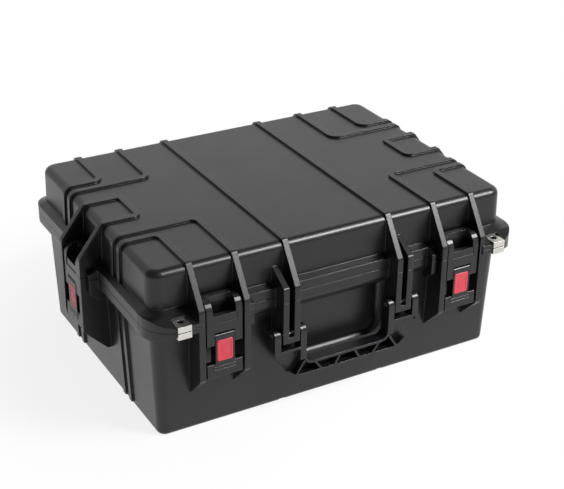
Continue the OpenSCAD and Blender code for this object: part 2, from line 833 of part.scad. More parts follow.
module carry_handle()
    color(CHARCOAL) difference() {
        union() {
            translate([0, -pivot_y, 0]) rotate([90, 0, 0])
                linear_extrude(handle_t, center = true) difference() {
                    polygon(handle_face(0, pivot_z));
                    polygon(handle_opening(0, pivot_z + cut));
                }
            at_forks(inner_prong_in, inner_prong_out, handle_t);
            at_forks(outer_prong_in, outer_prong_out, handle_t);
        }
        handle_cut(-cut) fork_slots();
        handle_cut(grip_back) intersection() {
            handle_pockets();
            grip_area();
        }
        handle_cut(fork_back) difference() {
            handle_pockets();
            grip_area();
        }
        at_forks(inner_prong_in - cut, outer_prong_out + cut, handle_pin_d + 2 * running);
    }

module handle_pins()
    color(STEEL) at_forks(inner_prong_in + 0.5, outer_prong_out - 0.5, handle_pin_d);

// ---- Latches, each in its own frame ----

module clamp(side)
    color(CHARCOAL) at_latch(side[0], side[1]) difference() {
        union() {
            latch_slice(0, latch_w)
                polygon(rounded([[-latch_face, -clamp_drop, 3], [-latch_face, clamp_top, 15],
                                 [hook_depth - 1, clamp_top, 3],
                                 [hook_depth - 1, strike_top + slack, 1],
                                 [-latch_face + clamp_t, strike_top + slack, 4],
                                 [-latch_face + clamp_t, link_pivot[1] + link_boss_r + 4, 4],
                                 [link_pivot[0], link_pivot[1] + link_boss_r, 0],
                                 [link_pivot[0], -clamp_drop, 0]]));
            translate([0, link_pivot[0], link_pivot[1]]) rotate([0, 90, 0])
                cylinder(r = link_boss_r, h = latch_w, center = true);
        }
        // window
        translate([-window_w / 2, -2 * latch_face - 1, window_foot])
            cube([window_w, 2 * latch_face, clamp_top]);
        // room for the button housing between the arms
        translate([-housing_w / 2 - 0.6, -2 * latch_face, -2 * clamp_drop])
            cube([housing_w + 1.2, 2 * latch_face + hook_depth,
                  2 * clamp_drop - housing_top + clamp_gap]);
        // shallow step under the window
        translate([-window_w / 2 - 2, -latch_face - cut, -2.5])
            cube([window_w + 4, cut + 0.8, window_foot + 2.5 + cut]);
        translate([0, link_pivot[0], link_pivot[1]]) rotate([0, 90, 0])
            cylinder(d = link_pin_d + 2 * running, h = latch_w + 2 * cut, center = true);
    }

module lever(side)
    color(CHARCOAL) at_latch(side[0], side[1]) difference() {
        union() {
            // button housing
            latch_slice(0, housing_w)
                polygon(rounded([[-housing_face, -tab_foot + 4, 0],
                                 [-housing_face, -housing_top, 3.4],
                                 [-housing_back - 4, -housing_top, 0],
                                 [lever_pivot[0] - boss_r + 0.4, lever_pivot[1], 0],
                                 [-housing_back + 2, lever_pivot[1] - 6, 0],
                                 [-housing_back, -housing_top - 8, 0],
                                 [-housing_back, -tab_top - 4, 4],
                                 [-latch_face + clamp_t, -tab_foot + 4, 0]]));
            // thumb tab
            latch_slice(0, latch_w)
                polygon(rounded([[-latch_face, -tab_top, 1.5], [-latch_face + clamp_t, -tab_top, 0],
                                 [-latch_face + clamp_t, -tab_foot + 3, 0],
                                 [-latch_face + 3, -tab_foot, 1], [-latch_face - 0.8, -tab_foot, 1]]));
            for (z = [-4.5, -9])
                latch_slice(0, 0.6 * latch_w)
                    translate([-latch_face, -tab_top + z]) circle(r = tab_ridge_r);
            // pivot boss
            translate([0, lever_pivot[0], lever_pivot[1]]) rotate([0, 90, 0])
                cylinder(r = boss_r, h = latch_w, center = true);
        }
        // pocket of the button
        translate([-button_w / 2 - button_gap, -housing_face - cut,
                   -button_foot - button_gap])
            cube([button_w + 2 * button_gap, housing_face + cut - pocket_floor,
                  button_h + 2 * button_gap]);
        translate([0, link_pivot[0], link_pivot[1]]) rotate([0, 90, 0])
            cylinder(d = link_pin_d + 2 * running, h = latch_w + 2 * cut, center = true);
        translate([0, lever_pivot[0], lever_pivot[1]]) rotate([0, 90, 0])
            cylinder(d = pivot_pin_d + 2 * running, h = latch_w + 2 * cut, center = true);
    }

module button(side)
    color(RED) at_latch(side[0], side[1])
        translate([0, -button_face + button_t / 2, spring_z])
            cube([button_w, button_t, button_h], center = true);

module pivot_pin(side)
    color(STEEL) at_latch(side[0], side[1])
        translate([0, lever_pivot[0], lever_pivot[1]]) rotate([0, 90, 0])
            cylinder(d = pivot_pin_d, h = latch_pitch + rib_w - 1, center = true);

module link_pin(side)
    color(STEEL) at_latch(side[0], side[1])
        translate([0, link_pivot[0], link_pivot[1]]) rotate([0, 90, 0])
            cylinder(d = link_pin_d, h = latch_w - 1, center = true);

// The button's return spring: a wire wound round the line of travel
wire_r = wire_d / 2;
spring_turns = 3;
spring_steps = 16;
wire_sides = 6;
spring_from = -pocket_floor - wire_r - running;
spring_to = -button_face + button_t + wire_r + running;

function wire_centre(t) =
    [spring_r * cos(360 * t), spring_from + (spring_to - spring_from) * t / spring_turns,
     spring_r * sin(360 * t)];

function wire_ring(t) =
    [for (k = [0 : wire_sides - 1])
        let (a = 360 * k / wire_sides, r = spring_r + wire_r * cos(a))
        [r * cos(360 * t), wire_centre(t)[1] + wire_r * sin(a), r * sin(360 * t)]];

module spring_coil() {
    n = spring_turns * spring_steps;
    points = [for (i = [0 : n]) each wire_ring(i / spring_steps)];
    sides = [for (i = [0 : n - 1], k = [0 : wire_sides - 1])
        let (a = i * wire_sides + k, b = i * wire_sides + (k + 1) % wire_sides)
        each [[a, b, a + wire_sides], [b, b + wire_sides, a + wire_sides]]];
    first = [for (k = [1 : wire_sides - 2]) [0, k + 1, k]];
    last = [for (k = [1 : wire_sides - 2])
        [n * wire_sides, n * wire_sides + k, n * wire_sides + k + 1]];
    polyhedron(points, concat(sides, first, last));
}

module spring(side)
    color(STEEL) at_latch(side[0], side[1])
        translate([0, 0, spring_z]) spring_coil();

tub();
lid();
seal_ring();
carry_handle();
handle_pins();
hinge_pin(-1);  // hinge_pin_left
hinge_pin(1);  // hinge_pin_right
lid_padlock_plate(-1);  // lid_padlock_plate_left
lid_padlock_plate(1);  // lid_padlock_plate_right
tub_padlock_plate(-1);  // tub_padlock_plate_left
tub_padlock_plate(1);  // tub_padlock_plate_right
lever(LATCHES[0]);  // front_left_lever
clamp(LATCHES[0]);  // front_left_clamp
button(LATCHES[0]);  // front_left_button
pivot_pin(LATCHES[0]);  // front_left_pivot_pin
link_pin(LATCHES[0]);  // front_left_link_pin
spring(LATCHES[0]);  // front_left_spring
lever(LATCHES[1]);  // front_right_lever
clamp(LATCHES[1]);  // front_right_clamp
button(LATCHES[1]);  // front_right_button
pivot_pin(LATCHES[1]);  // front_right_pivot_pin
link_pin(LATCHES[1]);  // front_right_link_pin
spring(LATCHES[1]);  // front_right_spring
lever(LATCHES[2]);  // left_lever
clamp(LATCHES[2]);  // left_clamp
button(LATCHES[2]);  // left_button
pivot_pin(LATCHES[2]);  // left_pivot_pin
link_pin(LATCHES[2]);  // left_link_pin
spring(LATCHES[2]);  // left_spring
lever(LATCHES[3]);  // right_lever
clamp(LATCHES[3]);  // right_clamp
button(LATCHES[3]);  // right_button
pivot_pin(LATCHES[3]);  // right_pivot_pin
link_pin(LATCHES[3]);  // right_link_pin
spring(LATCHES[3]);  // right_spring
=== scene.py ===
"""Finishes, studio and camera of the hard tool case.

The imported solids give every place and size. This file dresses each of them, builds the
moulded button caps that stand for the plain button solids, and sets the studio round it.
"""

import logging
import math
from dataclasses import dataclass, field
from enum import Enum

import bpy
import numpy as np
from mathutils import Matrix, Vector

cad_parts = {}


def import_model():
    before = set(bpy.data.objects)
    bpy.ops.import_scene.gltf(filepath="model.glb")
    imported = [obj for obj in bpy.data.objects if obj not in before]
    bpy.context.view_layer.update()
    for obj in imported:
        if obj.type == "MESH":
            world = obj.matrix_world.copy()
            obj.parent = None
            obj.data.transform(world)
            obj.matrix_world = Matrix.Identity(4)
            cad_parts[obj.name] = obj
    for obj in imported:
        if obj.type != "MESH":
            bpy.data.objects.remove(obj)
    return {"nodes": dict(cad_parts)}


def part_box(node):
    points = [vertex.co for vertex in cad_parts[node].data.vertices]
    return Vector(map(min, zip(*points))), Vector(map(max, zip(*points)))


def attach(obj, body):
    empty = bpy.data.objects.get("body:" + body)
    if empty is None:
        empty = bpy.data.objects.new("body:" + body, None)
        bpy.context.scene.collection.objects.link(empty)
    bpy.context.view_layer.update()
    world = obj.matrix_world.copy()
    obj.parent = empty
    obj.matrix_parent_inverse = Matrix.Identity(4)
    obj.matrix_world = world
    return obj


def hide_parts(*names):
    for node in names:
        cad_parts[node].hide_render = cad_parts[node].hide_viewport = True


LOG = logging.getLogger("tool_case")
MM = 0.001
EDGE_SAMPLES = 6


class Slot(Enum):
    """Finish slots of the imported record."""

    CASE = "case_plastic"
    HANDLE = "handle_plastic"
    LATCH = "latch_plastic"
    BUTTON = "button_red"
    SEAL = "seal_rubber"
    PLATE = "plate_steel"
    PIN = "pin_steel"
    SPRING = "spring_steel"


class Side(Enum):
    """Side of the case on which a latch hangs, as the way it faces."""

    FRONT = (0.0, -1.0)
    LEFT = (-1.0, 0.0)
    RIGHT = (1.0, 0.0)


def linear(code: str) -> tuple[float, float, float, float]:
    """Turns an sRGB hex colour into linear red, green, blue and alpha.

    Args:
        code: Six hex digits, such as "1c1c1e".

    Returns:
        The four linear values.
    """
    parts = [int(code[i : i + 2], 16) / 255 for i in (0, 2, 4)]
    r, g, b = [c / 12.92 if c <= 0.04045 else ((c + 0.055) / 1.055) ** 2.4 for c in parts]
    return r, g, b, 1.0


@dataclass
class Graph:
    """Node tree of one material, or of the world."""

    owner: bpy.types.Material | bpy.types.World

    def add(
        self, kind: str, inputs: dict[str | int, object] | None = None, **settings: object
    ) -> bpy.types.Node:
        """Adds a node and fills it.

        Args:
            kind: The node's type name.
            inputs: Value or incoming socket for each of the node's sockets, by name or number.
            settings: The node's own properties.

        Returns:
            The new node.
        """
        tree = self.owner.node_tree
        node = tree.nodes.new(kind)
        for key, value in settings.items():
            setattr(node, key, value)
        for key, value in (inputs or {}).items():
            if isinstance(value, bpy.types.NodeSocket):
                tree.links.new(value, node.inputs[key])
            else:
                node.inputs[key].default_value = value
        return node

    def place(self) -> bpy.types.NodeSocket:
        """Gives the point on the piece, in metres."""
        return self.add("ShaderNodeTexCoord").outputs["Object"]

    def noise(
        self, place: bpy.types.NodeSocket, size: float, detail: float, roughness: float = 0.5
    ) -> bpy.types.NodeSocket:
        """Adds a noise.

        Args:
            place: The point to read it at, in metres.
            size: Size of its coarsest grains, in mm.
            detail: How many times finer noise is added.
            roughness: Share that each finer noise has of the one before.

        Returns:
            The socket of its value, from 0 to 1.
        """
        return self.add(
            "ShaderNodeTexNoise",
            {"Vector": place, "Scale": 1 / (size * MM), "Detail": detail, "Roughness": roughness},
        ).outputs["Fac"]

    def tone(self, share: bpy.types.NodeSocket, dark: str, pale: str) -> bpy.types.NodeSocket:
        """Mixes two colours.

        Args:
            share: Share of the second colour.
            dark: Hex colour at 0.
            pale: Hex colour at 1.

        Returns:
            The socket of the mixed colour.
        """
        return self.add(
            "ShaderNodeMix", {0: share, 6: linear(dark), 7: linear(pale)}, data_type="RGBA"
        ).outputs[2]

    def span(
        self, value: bpy.types.NodeSocket, ends: tuple[float, float],
        start: tuple[float, float] = (0.0, 1.0), kind: str = "LINEAR",
    ) -> bpy.types.NodeSocket:
        """Maps one span of values onto another.

        Args:
            value: The value to map.
            ends: The two ends that it is mapped onto.
            start: The two ends that it is mapped from.
            kind: How it runs between them.

        Returns:
            The socket of the mapped value.
        """
        return self.add(
            "ShaderNodeMapRange",
            {"Value": value, "From Min": start[0], "From Max": start[1],
             "To Min": ends[0], "To Max": ends[1]}, interpolation_type=kind,
        ).outputs["Result"]

    def relief(
        self, height: bpy.types.NodeSocket, depth: float, strength: float,
        normal: bpy.types.NodeSocket | None = None,
    ) -> bpy.types.NodeSocket:
        """Adds a relief too fine to be built.

        Args:
            height: Height of the relief, from 0 to 1.
            depth: Its depth, in mm.
            strength: Share of it that shows.
            normal: The normal that it starts from, if not the face's own.

        Returns:
            The socket of the normal.
        """
        inputs = {"Height": height, "Distance": depth * MM, "Strength": strength}
        if normal is not None:
            inputs["Normal"] = normal
        return self.add("ShaderNodeBump", inputs).outputs[0]

    def rounded(self, radius: float) -> bpy.types.NodeSocket:
        """Gives the normal of a surface whose edges are rounded.

        Args:
            radius: Radius of the edges, in mm.

        Returns:
            The socket of the normal.
        """
        return self.add(
            "ShaderNodeBevel", {"Radius": radius * MM}, samples=EDGE_SAMPLES
        ).outputs[0]

    def surface(self, **inputs: object) -> None:
        """Ends the graph in a principled shader.

        Args:
            inputs: Its sockets' values, with low lines for the spaces of their names.
        """
        named = {key.replace("_", " "): value for key, value in inputs.items()}
        shader = self.add("ShaderNodeBsdfPrincipled", named).outputs[0]
        self.add("ShaderNodeOutputMaterial", {"Surface": shader})


def new_graph(name: str) -> Graph:
    """Makes an empty material.

    Args:
        name: The material's name.

    Returns:
        Its graph, with no nodes in it.
    """
    material = bpy.data.materials.new(name)
    material.use_nodes = True
    material.node_tree.nodes.clear()
    return Graph(material)


@dataclass(frozen=True)
class MouldedPlastic:
    """Plastic from a spark-eroded mould, whose fine pits break up every reflection.

    Attributes:
        name: Material name.
        deep: Hex colour of the darker patches.
        light: Hex colour of the paler patches.
        roughness: Gloss of the pitted surface.
        polish: Gloss of the worn, smoother edges.
        grain: Distance between the pits, in mm.
        depth: Depth of the pits, in mm.
        edge: Radius of the mould's edges, in mm.
        flow: Length of the melt's slow flow marks, in mm.
        streak: How much a flow mark adds to the roughness.
        bend: Cosines of the turn at which an edge is fully worn, and not at all.
        ior: Index of refraction.
        relief: Share of the pits' depth that shows.
    """

    name: str
    deep: str
    light: str
    roughness: float
    polish: float
    grain: float
    depth: float
    edge: float
    flow: float = 46.0
    streak: float = 0.10
    bend: tuple[float, float] = (0.75, 0.99)
    ior: float = 1.49
    relief: float = 0.8

    def build(self) -> bpy.types.Material:
        """Builds the material.

        Returns:
            The finished material.
        """
        g = new_graph(self.name)
        place = g.place()
        pits = g.noise(place, self.grain, 2.0, 0.6)
        flow = g.noise(place, self.flow, 3.0)
        tone = g.tone(flow, self.deep, self.light)
        # the rounded normal departs from the face's own only along an edge
        rounded = g.rounded(self.edge)
        flat = g.add("ShaderNodeNewGeometry").outputs["Normal"]
        along = g.add(
            "ShaderNodeVectorMath", {0: rounded, 1: flat}, operation="DOT_PRODUCT"
        ).outputs["Value"]
        worn = g.span(along, (self.polish, self.roughness), self.bend)
        gloss = g.add(
            "ShaderNodeMath", {0: flow, 1: self.streak, 2: worn}, operation="MULTIPLY_ADD"
        ).outputs[0]
        relief = g.relief(pits, self.depth, self.relief, rounded)
        g.surface(Base_Color=tone, Roughness=gloss, IOR=self.ior, Normal=relief)
        return g.owner


@dataclass(frozen=True)
class ButtonPlastic:
    """Red acetal with a satin face, whose fine grain softens the glints on it.

    Attributes:
        name: Material name.
        colour: Hex colour of the plastic.
        shade: Hex colour of its deeper patches.
        cloud: Size of the patches, in mm.
        grain: Size of the mould's grain, in mm.
        depth: Depth of the grain, in mm.
        gloss: Roughness between the grains and on them.
        ior: Index of refraction.
        relief: Share of the grain's depth that shows.
    """

    name: str
    colour: str
    shade: str
    cloud: float = 7.0
    grain: float = 0.5
    depth: float = 0.02
    gloss: tuple[float, float] = (0.3, 0.42)
    ior: float = 1.48
    relief: float = 0.6

    def build(self) -> bpy.types.Material:
        """Builds the material.

        Returns:
            The finished material.
        """
        g = new_graph(self.name)
        place = g.place()
        tone = g.tone(g.noise(place, self.cloud, 2.0), self.shade, self.colour)
        grain = g.noise(place, self.grain, 1.0)
        gloss = g.span(grain, self.gloss)
        relief = g.relief(grain, self.depth, self.relief)
        g.surface(Base_Color=tone, Roughness=gloss, IOR=self.ior, Normal=relief)
        return g.owner


@dataclass(frozen=True)
class Steel:
    """Bare stainless steel, drawn or rolled along X, whose fine lines spread the glints.

    Attributes:
        name: Material name.
        colour: Hex colour of the metal.
        roughness: Gloss between the lines.
        pitch: Distance between the drawn lines, in mm.
        depth: Depth of the lines, in mm.
        edge: Radius of the blanked edges, in mm.
        tarnish: Hex colour of its duller patches.
        patch: Size of the patches, in mm.
        spread: How much rougher the roughest patch is.
        draw: How much the lines are drawn out along X, as a share of their pitch.
        relief: Share of the lines' depth that shows.
    """

    name: str
    colour: str
    roughness: float
    pitch: float
    depth: float
    edge: float
    tarnish: str = "c9c6c0"
    patch: float = 6.0
    spread: float = 0.14
    draw: float = 0.04
    relief: float = 0.5

    def build(self) -> bpy.types.Material:
        """Builds the material.

        Returns:
            The finished material.
        """
        g = new_graph(self.name)
        place = g.place()
        drawn = g.add(
            "ShaderNodeMapping", {"Vector": place, "Scale": (self.draw, 1.0, 1.0)}
        ).outputs[0]
        lines = g.noise(drawn, self.pitch, 3.0)
        patches = g.noise(place, self.patch, 2.0)
        gloss = g.span(patches, (self.roughness, self.roughness + self.spread))
        relief = g.relief(lines, self.depth, self.relief, g.rounded(self.edge))
        tone = g.tone(patches, self.tarnish, self.colour)
        g.surface(Base_Color=tone, Metallic=1.0, Roughness=gloss, Normal=relief)
        return g.owner


@dataclass(frozen=True)
class Rubber:
    """Soft black sealing rubber: matt, with a faint bloom of chalk.

    Attributes:
        name: Material name.
        colour: Hex colour of the rubber.
        bloom: Hex colour of its dusty patches.
        dust: Size of the patches, in mm.
        depth: Depth of its unevenness, in mm.
        roughness: Gloss of its skin.
        ior: Index of refraction.
        relief: Share of the unevenness that shows.
    """

    name: str
    colour: str
    bloom: str
    dust: float = 3.0
    depth: float = 0.05
    roughness: float = 0.72
    ior: float = 1.52
    relief: float = 0.4

    def build(self) -> bpy.types.Material:
        """Builds the material.

        Returns:
            The finished material.
        """
        g = new_graph(self.name)
        dust = g.noise(g.place(), self.dust, 4.0)
        tone = g.tone(dust, self.colour, self.bloom)
        relief = g.relief(dust, self.depth, self.relief)
        g.surface(Base_Color=tone, Roughness=self.roughness, IOR=self.ior, Normal=relief)
        return g.owner


@dataclass
class Wardrobe:
    """The finish of every slot, built once."""

    materials: dict[Slot, bpy.types.Material] = field(default_factory=dict)

    def build(self) -> None:
        """Builds every finish."""
        finishes = {
            # black walls with a soft sheen, and smoother edges that catch the light
            Slot.CASE: MouldedPlastic(
                name="case_polypropylene", deep="0e0e10", light="131316", roughness=0.28,
                polish=0.2, grain=0.85, depth=0.03, edge=1.4),
            # a shade paler, and worn smooth along its edges
            Slot.HANDLE: MouldedPlastic(
                name="handle_nylon", deep="0f0f11", light="151518", roughness=0.27,
                polish=0.2, grain=0.7, depth=0.025, edge=1.1),
            # thinner mouldings with tighter edges
            Slot.LATCH: MouldedPlastic(
                name="latch_nylon", deep="0e0e10", light="141417", roughness=0.27,
                polish=0.2, grain=0.7, depth=0.025, edge=0.8),
            # the only colour on the case
            Slot.BUTTON: ButtonPlastic(name="button_acetal", colour="c8384a", shade="b83040"),
            # dull dark line between the tub and the lid
            Slot.SEAL: Rubber(name="seal_rubber", colour="0e0e0f", bloom="1a1a1a"),
            # rolled sheet, bright where it mirrors the backdrop
            Slot.PLATE: Steel(
                name="plate_stainless", colour="e4e1db", roughness=0.3, pitch=0.35,
                depth=0.012, edge=0.5),
            # turned and polished rod
            Slot.PIN: Steel(
                name="pin_stainless", colour="dcdad6", roughness=0.2, pitch=0.3,
                depth=0.01, edge=0.3),
            # drawn wire, duller than the pins
            Slot.SPRING: Steel(
                name="spring_wire", colour="c8c6c2", roughness=0.3, pitch=0.3,
                depth=0.01, edge=0.1),
        }
        self.materials = {slot: finish.build() for slot, finish in finishes.items()}

    def dress(self, piece: bpy.types.Object, slot: Slot) -> None:
        """Gives a piece the finish of its slot.

        Args:
            piece: A solid of the frame or a new piece.
            slot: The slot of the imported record.
        """
        piece.data.materials.clear()
        piece.data.materials.append(self.materials[slot])
        LOG.info("%s is dressed in %s", piece.name, self.materials[slot].name)


def new_piece(name: str, points: np.ndarray, faces: np.ndarray) -> bpy.types.Object:
    """Makes a mesh object at the origin from arrays.

    Args:
        name: The piece's name.
        points: Places of the vertices in metres, (n, 3).
        faces: Corner numbers of the four-sided faces, (m, 4).

    Returns:
        The object, linked to the scene, with smooth faces.
    """
    mesh = bpy.data.meshes.new(name)
    mesh.from_pydata(points.tolist(), [], faces.tolist())
    mesh.validate()
    mesh.polygons.foreach_set("use_smooth", np.ones(len(mesh.polygons), dtype=bool))
    mesh.update()
    piece = bpy.data.objects.new(name, mesh)
    bpy.context.scene.collection.objects.link(piece)
    return piece


def ring_faces(rings: int, around: int) -> np.ndarray:
    """Numbers the faces between closed rings of points.

    Face (i, j) joins points j and j + 1 of ring i to those of ring i + 1, and the
    last point of a ring joins its first.

    Args:
        rings: How many rings there are.
        around: Points in each ring.

    Returns:
        The corner numbers, (faces, 4).
    """
    i, j = np.meshgrid(np.arange(rings - 1), np.arange(around), indexing="ij")
    k = (j + 1) % around
    inner, outer = i * around, (i + 1) * around
    return np.stack([inner + j, inner + k, outer + k, outer + j], -1).reshape(-1, 4)


@dataclass
class ButtonCap:
    """Red cap of a latch: a rounded rectangle with a soft edge and a sunk field.

    Attributes:
        corner: Radius of the cap's corners, in mm.
        soft: Radius of the edge round its face, in mm.
        border: Width of the raised border, in mm.
        sunk: Depth of the field inside the border, in mm.
        crown: How far the middle of the field rises again, in mm.
        step: Width of the slope from the border down to the field, in mm.
        back: Size of the slope round its back edge, in mm.
        core: Half height of the innermost ring, in mm.
        tip: Half width of the innermost ring, in mm.
        around: Points in each ring, a multiple of four.
        cuts: Points of the section over the soft edge, the slope and the field.
    """

    corner: float = 2.6
    soft: float = 0.9
    border: float = 2.6
    sunk: float = 0.55
    crown: float = 0.3
    step: float = 1.1
    back: float = 0.6
    core: float = 0.5
    tip: float = 0.02
    around: int = 80
    cuts: tuple[int, int, int] = (7, 9, 12)

    def outline(self, half_w: float, half_h: float) -> np.ndarray:
        """Points of a rounded rectangle.

        At angle t the point lies at (a + r cos t, b + r sin t) of its own quarter,
        where (a, b) is the centre of that quarter's corner arc.

        Args:
            half_w: Half width in mm.
            half_h: Half height in mm.

        Returns:
            The points, (around, 2).
        """
        quarter = self.around // 4
        t = np.linspace(0, np.pi / 2, quarter)[None, :] + np.arange(4)[:, None] * np.pi / 2
        sign = np.array([[1, 1], [-1, 1], [-1, -1], [1, -1]])[:, None, :]
        r = min(self.corner, half_w, half_h)
        arc = r * np.stack([np.cos(t), np.sin(t)], -1)
        return (sign * np.array([half_w - r, half_h - r]) + arc).reshape(-1, 2)

    def section(self, thickness: float, half: float) -> np.ndarray:
        """Section of the cap from its back edge to its middle.

        Straight up the side, round a quarter circle of radius soft, level over the
        border, down by sunk along half a cosine wave, then up by crown as
        1 - (distance / half)^2.

        Args:
            thickness: Thickness of the cap in mm.
            half: Half width of the cap in mm.

        Returns:
            Pairs of inset from the outline and height above the back, (n, 2).
        """
        turn = np.linspace(0, np.pi / 2, self.cuts[0])
        edge = np.stack([self.soft * (1 - np.cos(turn)),
                         thickness - self.soft * (1 - np.sin(turn))], -1)
        fall = np.linspace(0, 1, self.cuts[1])
        slope = np.stack([self.border + self.step * fall,
                          thickness - self.sunk * (1 - np.cos(np.pi * fall)) / 2], -1)
        inner = np.linspace(self.border + self.step, half - self.tip, self.cuts[2])[1:]
        share = (half - inner) / (half - self.border - self.step)
        middle = np.stack([inner, thickness - self.sunk + self.crown * (1 - share**2)], -1)
        return np.vstack([[[self.back, 0.0], [0.0, self.back]], edge, slope, middle])

    def build(self, name: str, low: Vector, high: Vector, side: Side) -> bpy.types.Object:
        """Builds the cap in the box of its solid.

        Args:
            name: The piece's name.
            low: Lowest corner of the button's solid, in metres.
            high: Highest corner of the button's solid, in metres.
            side: The side that the latch hangs on.

        Returns:
            The cap.
        """
        out = np.array([*side.value, 0.0])
        across = np.array([-side.value[1], side.value[0], 0.0])
        middle = (np.array(low) + np.array(high)) / 2
        size = np.array(high) - np.array(low)
        half_w = float(abs(size @ across)) / 2 / MM
        half_h = float(size[2]) / 2 / MM
        thick = float(abs(size @ out)) / MM
        section = self.section(thick, half_w)
        rim = self.outline(half_w, half_h)
        # each ring is the rim drawn in by the section's inset, in both directions alike
        draw = np.stack([1 - section[:, 0] / half_w,
                         1 - section[:, 0] * (half_h - self.core) / half_w / half_h], -1)
        plan = rim[None, :, :] * draw[:, None, :]
        rise = (section[:, 1] - thick / 2)[:, None, None]
        points = (middle
                  + plan[..., :1] * MM * across
                  + plan[..., 1:] * MM * np.array([0.0, 0.0, 1.0])
                  + rise * MM * out)
        return new_piece(name, points.reshape(-1, 3), ring_faces(len(section), len(rim)))


@dataclass
class Mouldings:
    """The tub and the lid with what is moulded or pressed into them."""

    tub: str = "tub"
    lid: str = "lid"
    seal: str = "seal_ring"
    hinge_pins: tuple[str, ...] = ("hinge_pin_left", "hinge_pin_right")

    def dress(self, nodes: dict[str, bpy.types.Object], wardrobe: Wardrobe) -> None:
        """Gives the mouldings, seal and hinge pins their finishes.

        Args:
            nodes: The frame's solids by name.
            wardrobe: The finishes.
        """
        for name in (self.tub, self.lid):
            wardrobe.dress(nodes[name], Slot.CASE)
        wardrobe.dress(nodes[self.seal], Slot.SEAL)
        for name in self.hinge_pins:
            wardrobe.dress(nodes[name], Slot.PIN)


@dataclass
class CarryHandle:
    """The folding handle and the pins that it turns on."""

    grip: str = "carry_handle"
    pins: str = "handle_pins"

    def dress(self, nodes: dict[str, bpy.types.Object], wardrobe: Wardrobe) -> None:
        """Gives the handle and its pins their finishes.

        Args:
            nodes: The frame's solids by name.
            wardrobe: The finishes.
        """
        wardrobe.dress(nodes[self.grip], Slot.HANDLE)
        wardrobe.dress(nodes[self.pins], Slot.PIN)


@dataclass
class PadlockPlates:
    """The steel plates of the two padlock ledges."""

    names: tuple[str, ...] = (
        "lid_padlock_plate_left", "lid_padlock_plate_right",
        "tub_padlock_plate_left", "tub_padlock_plate_right",
    )

    def dress(self, nodes: dict[str, bpy.types.Object], wardrobe: Wardrobe) -> None:
        """Gives the plates their finish.

        Args:
            nodes: The frame's solids by name.
            wardrobe: The finishes.
        """
        for name in self.names:
            wardrobe.dress(nodes[name], Slot.PLATE)


@dataclass
class Latch:
    """One draw latch: lever, hook frame, pins, spring and red cap.

    Attributes:
        place: Where it hangs, as its nodes' names begin.
        side: The side of the case.
        cap: The shape of its red cap.
    """

    place: str
    side: Side
    cap: ButtonCap = field(default_factory=ButtonCap)

    def dress(self, nodes: dict[str, bpy.types.Object], wardrobe: Wardrobe) -> None:
        """Gives the latch's solids their finishes.

        Args:
            nodes: The frame's solids by name.
            wardrobe: The finishes.
        """
        for part, slot in (
            ("lever", Slot.LATCH), ("clamp", Slot.LATCH), ("pivot_pin", Slot.PIN),
            ("link_pin", Slot.PIN), ("spring", Slot.SPRING), ("button", Slot.BUTTON),
        ):
            wardrobe.dress(nodes[f"{self.place}_{part}"], slot)

    def build(self, wardrobe: Wardrobe) -> bpy.types.Object:
        """Builds the red cap in place of the plain button solid.

        Args:
            wardrobe: The finishes.

        Returns:
            The cap.
        """
        node = f"{self.place}_button"
        low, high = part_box(node)
        piece = self.cap.build(f"{self.place}_button_cap", low, high, self.side)
        wardrobe.dress(piece, Slot.BUTTON)
        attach(piece, node)
        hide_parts(node)
        return piece


